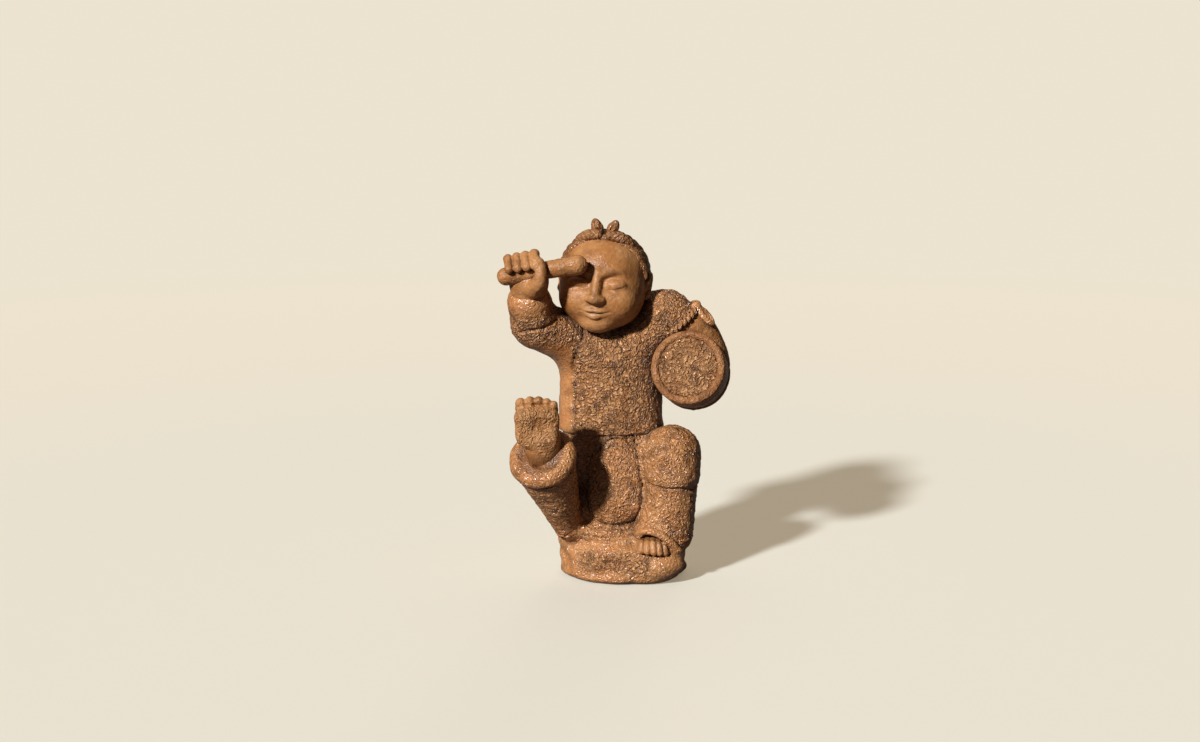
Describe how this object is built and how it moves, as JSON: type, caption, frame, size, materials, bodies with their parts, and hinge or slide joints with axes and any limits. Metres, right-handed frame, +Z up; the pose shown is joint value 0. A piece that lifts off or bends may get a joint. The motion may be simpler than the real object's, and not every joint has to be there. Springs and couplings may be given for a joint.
{
  "type": "seated drummer figurine",
  "caption": "Hand-built brown clay figurine of a seated folk drummer: one arm lifts a stick, the other holds a small drum, and one bare foot is raised, on a low rounded base.",
  "frame": {"origin": "centre of the base's flat underside, on the table", "axes": "+Z up; the figure faces -Y; +X is the figure's own left, where the drum is"},
  "size_m": [0.1262, 0.0888, 0.2002],
  "materials": {
    "marked_clay": "fired brown clay with short tool marks, satin on the ridges",
    "burnished_clay": "fired golden brown clay, burnished smooth, satin",
    "hair_clay": "fired dark brown clay with combed strands",
    "drum_clay": "fired brown clay, tool marked on the skin, smooth on the shell"
  },
  "bodies": {
    "root": {"apron": "marked_clay", "arm_cord": "marked_clay", "arm_cord_knot": "marked_clay", "base": "marked_clay", "drum_barrel": "drum_clay", "drum_hoop_back": "drum_clay", "drum_hoop_front": "drum_clay", "drum_skin_back": "drum_clay", "drum_skin_front": "drum_clay", "drumstick": "burnished_clay", "ear_left": "burnished_clay", "ear_right": "burnished_clay", "hair_braid_left": "hair_clay", "hair_braid_right": "hair_clay", "hair_cap": "hair_clay", "hair_tuft_left": "hair_clay", "hair_tuft_right": "hair_clay", "head": "burnished_clay", "hips": "marked_clay", "left_foot": "burnished_clay", "left_forearm": "burnished_clay", "left_hand": "burnished_clay", "left_shin": "marked_clay", "left_thigh": "marked_clay", "left_trouser_hem": "marked_clay", "left_upper_arm": "marked_clay", "right_foot": "burnished_clay", "right_hand": "burnished_clay", "right_sleeve": "marked_clay", "right_trouser_cuff": "marked_clay", "right_trouser_leg": "marked_clay", "right_upper_arm": "marked_clay", "torso": "marked_clay"}
  },
  "joints": []
}
